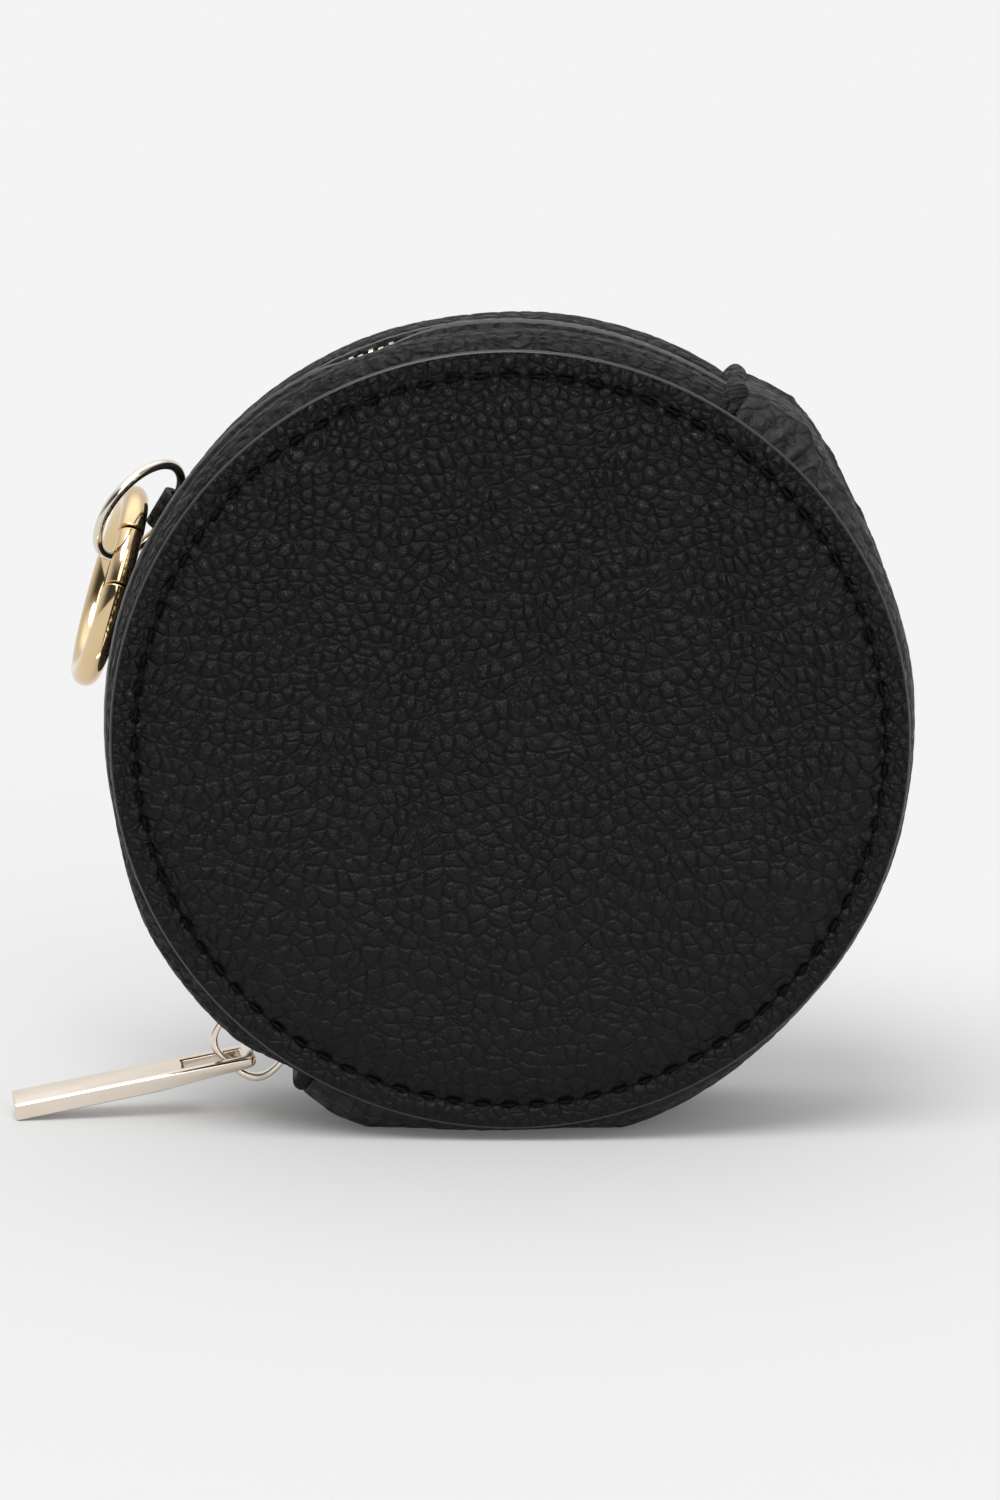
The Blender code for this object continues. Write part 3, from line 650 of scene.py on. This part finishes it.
def gusset_lift(angle, depth, run, arc):
    """Pebbles all over, puckers where the seams gather it, and slanting creases near its ends."""
    edge = np.abs(depth)
    outer = (edge < 15.3) * step_between(15.3 - edge, 0, 0.6)
    full = run.max() / 2
    outer = outer * (run < full * 1.07)
    warp = 0.7 * soft_noise(arc / 7, run / 6, 14)
    height = 0.08 * pebbles(arc / 2.5 + warp, run / 2.0 + warp, 0.5, 51)
    turn = arc * 2 * math.pi / 2.9 + 2.2 * soft_noise(arc / 8, depth / 8, 16)
    gather = 0.06 + 0.75 * bump_at(angle, 404, 11) + 0.12 * bump_at(angle, 252, 12)
    height = height + bump_at(edge, 13.4, 1.3) * gather * np.maximum(np.cos(turn), -0.4)
    slant = arc * 0.8 + edge * 0.9
    fold = 1 - np.abs(soft_noise(slant / 3.4, (arc - depth) / 9, 17))
    ends = bump_at(angle, 404, 16) + 0.7 * bump_at(angle, 250, 9) + 0.12
    height = height + 0.5 * ends * (fold**3 - 0.4) * bump_at(edge, 9.5, 5.5)
    height = height + 0.45 * bump_at(edge, 9.7, 0.8) * bump_at(angle, 400, 24)
    height = height + 0.25 * soft_noise(arc / 11, depth / 7, 19)
    return outer * height


def loose_sheet(angle, depth, run, arc):
    return 0.12 * soft_noise(arc / 6, depth / 5, 23)


def gusset():
    angles = rim_angles(ZIP_END + 0.9, 360 + ZIP_START - 0.9, 0.4)
    made = rim_sheet(
        "gusset_leather", gusset_path(), angles, gusset_lift, gusset_grain, 1, gusset_radius,
        GUSSET_PEBBLE,
    )
    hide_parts("gusset")
    bend_across(made)

    crest = GUSSET_CREST - GUSSET_LEATHER - 0.35
    half = [(12.6, 48.4), (12.0, 49.5), (9.2, crest), (0.0, crest + 0.1)]
    outer = half + [(-y, r) for y, r in reversed(half[:-1])]
    path = outer + [(y * 0.97, r - 0.4) for y, r in reversed(outer)]
    angles = rim_angles(ZIP_END + 1.5, 360 + ZIP_START - 1.5, 1.2)
    cloth_side = rim_sheet(
        "gusset_cloth", path, angles, loose_sheet, lining_weave, 1, gusset_radius
    )
    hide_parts("gusset_lining")
    bend_across(cloth_side)


def bend_across(piece):
    """The piece joins the two halves round the hinge line. Its placement is baked into its mesh."""
    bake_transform(piece)


def end_rib(name, node, angle, seed):
    """The seam at one end of the zip: two rounded rolls of leather with a notch over the chain."""
    rows, sides = 96, 28
    depth = np.linspace(-14.9, 14.9, rows)
    edge = np.abs(depth)
    crest = RIB_LOW + RIB_RISE * step_between(14.95 - edge, 0, 4.6)
    crest = crest - RIB_NOTCH * bump_at(depth, -1.0, 1.7)
    crest = crest + 0.18 * soft_noise(depth / 2.1, depth * 0 + seed, seed)
    uneven = 1 + 0.14 * soft_noise(depth / 2.6, depth * 0, seed + 2)
    width = RIB_HALF * (0.75 + 0.4 * bump_at(edge, 9.0, 5.0)) * uneven
    turn = np.linspace(0, 2 * math.pi, sides, endpoint=False)
    across = np.sign(np.cos(turn)) * np.abs(np.cos(turn)) ** 0.8
    up = np.sign(np.sin(turn)) * np.abs(np.sin(turn)) ** 0.8
    middle, tall = (crest + RIB_FOOT)[:, None] / 2, (crest - RIB_FOOT)[:, None] / 2
    sway = 0.35 * soft_noise(depth / 5, depth * 0 + 3, seed + 4)[:, None]
    arc = width[:, None] * across[None] + sway
    radius = middle + tall * up[None]
    grains = pebbles(depth[:, None] / 2 + 0 * arc, (arc + radius) / 1.7, 0.4, seed + 6)
    radius = radius + 0.05 * grains * np.maximum(up, 0)[None]
    grid = rim_points(angle + np.degrees(arc / CHAIN_RADIUS), radius, depth[:, None])
    uv = np.stack(np.broadcast_arrays(depth[:, None] / 2, (arc + radius) / 1.8), -1)
    made = tube_solid(name, grid, [rim_grain], uv=uv)
    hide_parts(node)
    bend_across(made)


def plain_sheet(angle, depth, run, arc):
    return 0.04 * soft_noise(arc / 4, depth / 3, 31)


def hinge_blend(piece):
    """The front tape and teeth stay unattached, with their placement baked into their mesh."""
    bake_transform(piece)


def zip_tape(name, side, prefix):
    path = [(2.2, 49.7), (2.2, 50.1), (12.0, 50.1), (12.0, 49.7), (2.2, 49.7)]
    angles = rim_angles(ZIP_START + SHEET_INSET, ZIP_END - SHEET_INSET, 0.8)
    made = rim_sheet(name, path, angles, plain_sheet, tape_weave, side)
    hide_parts(prefix + "_zip_tape")
    return made


def strip_cloth(name, body, side, prefix):
    path = [(3.3, 49.35), (8.0, 49.3), (13.1, 49.2), (13.1, 48.85), (8.0, 48.9), (3.3, 48.95)]
    path += path[:1]
    angles = rim_angles(ZIP_START + SHEET_INSET, ZIP_END - SHEET_INSET, 1.2)
    made = rim_sheet(name, path, angles, plain_sheet, lining_weave, side)
    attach(made, body)
    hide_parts(prefix + "_strip_lining")


def disc_cloth(name, body, side, prefix):
    """The lining over the stiffener, drawn in a little all over and gathered at its edge."""
    radii = np.concatenate([np.linspace(0.6, 44, 60), np.linspace(44.5, 47.7, 9)])
    turn = np.linspace(0, 2 * math.pi, 240, endpoint=False)
    radius, angle = np.meshgrid(radii, turn, indexing="ij")
    x, z = radius * np.cos(angle), radius * np.sin(angle)
    gather = 0.12 * np.cos(angle * 60) * bump_at(radius, 46.5, 1.6)
    fold = 0.16 * soft_noise(x / 11, z / 11, 61) + gather
    grids = []
    for depth in (13.2, 14.75):
        spot = depth + (fold if depth < 14 else 0 * fold)
        grids.append(np.stack([x, side * spot, z + CENTRE_HEIGHT], -1))
    grid = np.concatenate([grids[0], grids[1][::-1]])
    uv = np.stack([grid[..., 0], grid[..., 2]], -1)
    made = tube_solid(name, grid, [lining_weave], uv=uv)
    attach(made, body)
    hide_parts(prefix + "_lining", prefix + "_stiffener")


# The chain


def tooth_sections():
    """A tooth's (depth, half length, inner radius, outer radius) from its clamp to its head."""
    return (
        (2.1, 0.36, 49.1, 50.9), (1.7, 0.52, 48.85, 51.15), (0.9, 0.55, 48.8, 51.2),
        (0.45, 0.36, 48.95, 51.05), (0.05, 0.38, 48.95, 51.05), (-0.3, 0.5, 48.9, 51.1),
        (-0.55, 0.34, 49.2, 50.8),
    )


def chain_row(name, side, prefix):
    """One row of teeth, clamped on the cord along its tape's edge."""
    pitch = math.degrees(TOOTH_PITCH / CHAIN_RADIUS)
    count = int((SLIDER_ANGLE - CHAIN_START) / pitch)
    corners = [(-1, -0.5), (-0.55, -1), (0.55, -1), (1, -0.5), (1, 0.5), (0.55, 1), (-0.55, 1)]
    corners = np.array([*corners, (-1, 0.5)])
    points, faces = [], []
    for n in range(count):
        middle = CHAIN_START + pitch * (n + 0.3 + (0.5 if side > 0 else 0.0))
        rings = []
        for depth, half, inner, outer in tooth_sections():
            radius = (inner + outer) / 2 + corners[:, 1] * (outer - inner) / 2
            angle = middle + np.degrees(corners[:, 0] * half / CHAIN_RADIUS)
            rings.append(rim_points(angle, radius, side * depth))
        many = len(corners)
        first = n * len(rings) * many
        faces += grid_faces(len(rings), many, loop_columns=True, first=first)
        faces += [tuple(first + k for k in range(many))]
        faces += [tuple(first + (len(rings) - 1) * many + k for k in range(many))]
        points.append(np.vstack(rings))
    cord_first = sum(len(p) for p in points)
    angles = rim_angles(CHAIN_START - 1.0, SLIDER_ANGLE + 1.5, 0.45)
    turn = np.linspace(0, 2 * math.pi, CORD_SIDES, endpoint=False)
    ply = 1 + 0.12 * np.cos(3 * turn[None] + np.radians(angles)[:, None] * 90)
    radius = CHAIN_RADIUS + CORD_TUBE * ply * np.sin(turn)
    depth = CORD_DEPTH + CORD_TUBE * ply * np.cos(turn)
    cord = rim_points(angles[:, None], radius, side * depth)
    tooth_faces = len(faces)
    faces += grid_faces(len(angles), CORD_SIDES, loop_columns=True, first=cord_first)
    faces += [tuple(cord_first + k for k in range(CORD_SIDES))]
    faces += [tuple(cord_first + (len(angles) - 1) * CORD_SIDES + k for k in range(CORD_SIDES))]
    points.append(cord.reshape(-1, 3))
    slots = [0] * tooth_faces + [1] * (len(faces) - tooth_faces)
    made = new_object(name, np.vstack(points), faces, [tooth_gold, tape_weave], slots)
    made.data.set_sharp_from_angle(angle=math.radians(40))
    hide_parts(prefix + "_zip_teeth")
    return made


# The metal pieces


def refined(name, node, body, finish, width, segments=3):
    """The CAD piece again, with its edges rounded and its flat faces left whole."""
    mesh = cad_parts[node].data.copy()
    mesh.materials.clear()
    mesh.materials.append(finish)
    shape = bmesh.new()
    shape.from_mesh(mesh)
    bmesh.ops.remove_doubles(shape, verts=shape.verts, dist=2e-6)
    bmesh.ops.dissolve_limit(shape, angle_limit=math.radians(2), verts=shape.verts, edges=shape.edges)
    for part in shape.faces:
        part.material_index = 0
        part.smooth = True
    shape.to_mesh(mesh)
    shape.free()
    made = bpy.data.objects.new(name, mesh)
    bpy.context.scene.collection.objects.link(made)
    bevel = made.modifiers.new("Rounded edges", "BEVEL")
    bevel.width = width * MM
    bevel.segments = segments
    bevel.limit_method = "ANGLE"
    bevel.angle_limit = math.radians(32)
    bevel.harden_normals = True
    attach(made, body)
    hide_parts(node)
    return made


def circle_frame(centre, normal):
    """The centre, normal, near and upward directions of a ring that stands across the rim."""
    normal = Vector(normal).normalized()
    near = (Vector((0, -1, 0)) + normal * normal.y).normalized()
    up = near.cross(normal)
    up *= math.copysign(1, up.z)
    return [np.array(v) for v in (centre, normal, near, up)]


def torus(circle, radius, tube, angle, round_turn, thin=None):
    """Points of a round bar along a circle. angle is counted from the top to the near side."""
    centre, normal, near, up = circle
    turn = np.radians(angle)[..., None]
    spoke = up * np.cos(turn) + near * np.sin(turn)
    size = tube if thin is None else tube * thin[..., None]
    rim = np.cos(round_turn)[..., None] * spoke + np.sin(round_turn)[..., None] * normal
    return centre + spoke * radius + rim * size


def hanger_ring():
    circle = circle_frame(HANGER_CENTRE, HANGER_NORMAL)
    angle = np.linspace(0, 360, 200, endpoint=False)[:, None]
    turn = np.linspace(0, 2 * math.pi, 24, endpoint=False)[None]
    angle, turn = np.broadcast_arrays(angle, turn)
    grid = torus(circle, HANGER_RADIUS, HANGER_WIRE, angle, turn)
    made = tube_solid("wire_ring", grid, [silver_gold], ring=True)
    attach(made, "wire_ring")
    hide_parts("hanger_ring")


def gate_place(angle, inset=0.0):
    centre, _, near, up = circle_frame(GATE_RING_CENTRE, GATE_RING_NORMAL)
    turn = math.radians(angle)
    spoke = up * math.cos(turn) + near * math.sin(turn)
    return centre + spoke * (GATE_RING_RADIUS - inset)


def gate_pin():
    return gate_place(GATE_START - PIN_SETBACK, PIN_INSET)


def slanted_end(circle, tube, turn, reach):
    """The angle at which each line along the bar meets the plane that far from the gate's pin."""
    pin = gate_pin()
    chord = gate_place(GATE_END) - pin
    chord /= np.linalg.norm(chord)
    low, high = np.full(turn.shape, 60.0), np.full(turn.shape, 110.0)
    for _ in range(40):
        middle = (low + high) / 2
        place = torus(circle, GATE_RING_RADIUS, tube, middle, turn)
        beyond = (place - pin) @ chord > reach
        low, high = np.where(beyond, low, middle), np.where(beyond, middle, high)
    return low


def bar_ends(count, length):
    """Even places along a bar from 0 to 1 and how thick it is there, with its two ends eased."""
    ease = np.array([0.0, 0.03, 0.08, 0.15]) / length
    along = np.concatenate([ease, np.linspace(0.22 / length, 1 - 0.22 / length, count), 1 - ease[::-1]])
    thin = np.concatenate([[0.9, 0.955, 0.985, 1.0], np.ones(count), [1.0, 0.985, 0.955, 0.9]])
    return along, thin


def gate_bar(circle, tube, angle, turn, thin):
    """A bar along the gate ring's circle, with a thickness for each of its sections."""
    turn, thin = turn[None] + 0 * angle, thin[:, None] + 0 * angle
    return torus(circle, GATE_RING_RADIUS, tube, angle, turn, thin)


def gate_parts():
    """The sprung gate ring and its gate, cut square to the line from the pin where they meet."""
    circle = circle_frame(GATE_RING_CENTRE, GATE_RING_NORMAL)
    pin = gate_pin()
    reach = np.linalg.norm(gate_place(GATE_END) - pin)
    turn = np.linspace(0, 2 * math.pi, 40, endpoint=False)
    along, thin = bar_ends(170, RING_BAR_LENGTH)
    start = slanted_end(circle, GATE_RING_TUBE, turn, reach)[None]
    angle = start + along[:, None] * (360 + GATE_START - start)
    grid = gate_bar(circle, GATE_RING_TUBE, angle, turn, thin)
    ring = tube_solid("snap_ring", grid, [gold])
    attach(ring, "snap_ring")
    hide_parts("gate_ring")

    along, thin = bar_ends(40, GATE_BAR_LENGTH)
    end = slanted_end(circle, GATE_TUBE, turn, reach - GATE_GAP)[None]
    angle = GATE_START + GATE_SETBACK + along[:, None] * (end - GATE_START - GATE_SETBACK)
    grid = gate_bar(circle, GATE_TUBE, angle, turn, thin)
    gate = tube_solid("snap_gate", grid, [gold])
    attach(gate, "snap_gate")
    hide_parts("gate")


# The scene


def floor():
    """A pale table that gives off a little light of its own, which keeps its shadows pale."""
    half = 12.0
    corners = [(-half, -half, 0), (half, -half, 0), (half, half, 0), (-half, half, 0)]
    made = new_object("floor", np.array(corners) / MM, [(0, 1, 2, 3)], [])
    made.location.z = FLOOR_HEIGHT
    finish = Finish("pale_floor", (0.47, 0.47, 0.47), 0.85, specular=0.1)
    finish.shader.inputs["Emission Color"].default_value = (1, 1, 1, 1)
    finish.shader.inputs["Emission Strength"].default_value = 0.09
    finish.bump(finish.noise(60, 2.0), 0.02, 0.5)
    made.data.materials.append(finish.material)


def sky():
    """A white studio: bright above and behind, and dimmer towards the camera."""
    world = bpy.data.worlds.new("studio")
    bpy.context.scene.world = world
    world.use_nodes = True
    tree = world.node_tree
    back = tree.nodes["Background"]
    back.inputs["Color"].default_value = (1, 1, 1, 1)
    where = tree.nodes.new("ShaderNodeTexCoord")
    parts = tree.nodes.new("ShaderNodeSeparateXYZ")
    tree.links.new(where.outputs["Generated"], parts.inputs[0])
    terms = []
    for axis, (start, end, low, high) in (("Y", SKY_BACK), ("Z", SKY_TOP)):
        ramp = tree.nodes.new("ShaderNodeMapRange")
        ramp.interpolation_type = "SMOOTHSTEP"
        values = {"From Min": start, "From Max": end, "To Min": low, "To Max": high}
        for socket, value in values.items():
            ramp.inputs[socket].default_value = value
        tree.links.new(parts.outputs[axis], ramp.inputs["Value"])
        terms.append(ramp.outputs["Result"])
    total = tree.nodes.new("ShaderNodeMath")
    tree.links.new(terms[0], total.inputs[0])
    tree.links.new(terms[1], total.inputs[1])
    tree.links.new(total.outputs[0], back.inputs["Strength"])


def soft_sun(name, toward, strength, spread):
    lamp = bpy.data.lights.new(name, "SUN")
    lamp.energy = strength
    lamp.angle = math.radians(spread)
    made = bpy.data.objects.new(name, lamp)
    made.rotation_euler = Vector(toward).to_track_quat("Z", "Y").to_euler()
    bpy.context.scene.collection.objects.link(made)


def camera():
    azimuth, elevation, distance = math.radians(0.3), math.radians(10.4), 0.9
    target = Vector((-0.00127, -0.017, 0.0507))
    away = Vector((
        math.sin(azimuth) * math.cos(elevation),
        -math.cos(azimuth) * math.cos(elevation),
        math.sin(elevation),
    ))
    lens = bpy.data.cameras.new("camera")
    lens.sensor_width = 36
    lens.lens = 170.64
    lens.clip_start = 0.01
    made = bpy.data.objects.new("camera", lens)
    made.location = target + away * distance
    made.rotation_euler = (-away).to_track_quat("-Z", "Y").to_euler()
    bpy.context.scene.collection.objects.link(made)
    bpy.context.scene.camera = made


def build():
    for side, prefix, body in ((-1, "front", "front_half"), (1, "rear", "purse")):
        face(prefix + "_face", body, side, prefix)
        stitches(prefix + "_stitches", body, side)
        zip_strip(prefix + "_strip", body, side, prefix)
        strip_cloth(prefix + "_strip_cloth", body, side, prefix)
        disc_cloth(prefix + "_cloth", body, side, prefix)
        tape = zip_tape(prefix + "_tape", side, prefix)
        teeth = chain_row(prefix + "_teeth", side, prefix)
        for piece in (tape, teeth):
            if side < 0:
                hinge_blend(piece)
            else:
                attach(piece, body)
        refined(prefix + "_stop", prefix + "_top_stop", body, tooth_gold, 0.15, 2)
    gusset()
    end_rib("upper_rib", "upper_end_rib", ZIP_START, 71)
    end_rib("lower_rib", "lower_end_rib", ZIP_END, 83)
    refined("chain_stop", "bottom_stop", "purse", tooth_gold, 0.2, 2)
    refined("slider", "slider_body", "slider", pull_gold, 0.12)
    refined("crown", "slider_crown", "slider", pull_gold, 0.25)
    refined("lock_leaf", "slider_lock_spring", "slider", tooth_gold, 0.06, 2)
    refined("pull", "pull_bar", "pull", pull_gold, 0.1)
    refined("tab", "hanger_tab", "purse", tab_grain, 0.2, 3)
    refined("hinge_pin", "gate_pin", "snap_ring", gold, 0.05, 2)
    hanger_ring()
    gate_parts()


build()
floor()
sky()
soft_sun("key", (-0.2, -0.5, 1.0), 2.4, 36)
soft_sun("fill", (0.35, -1.0, 0.5), 1.3, 50)
camera()
bpy.context.scene.view_settings.view_transform = "Standard"
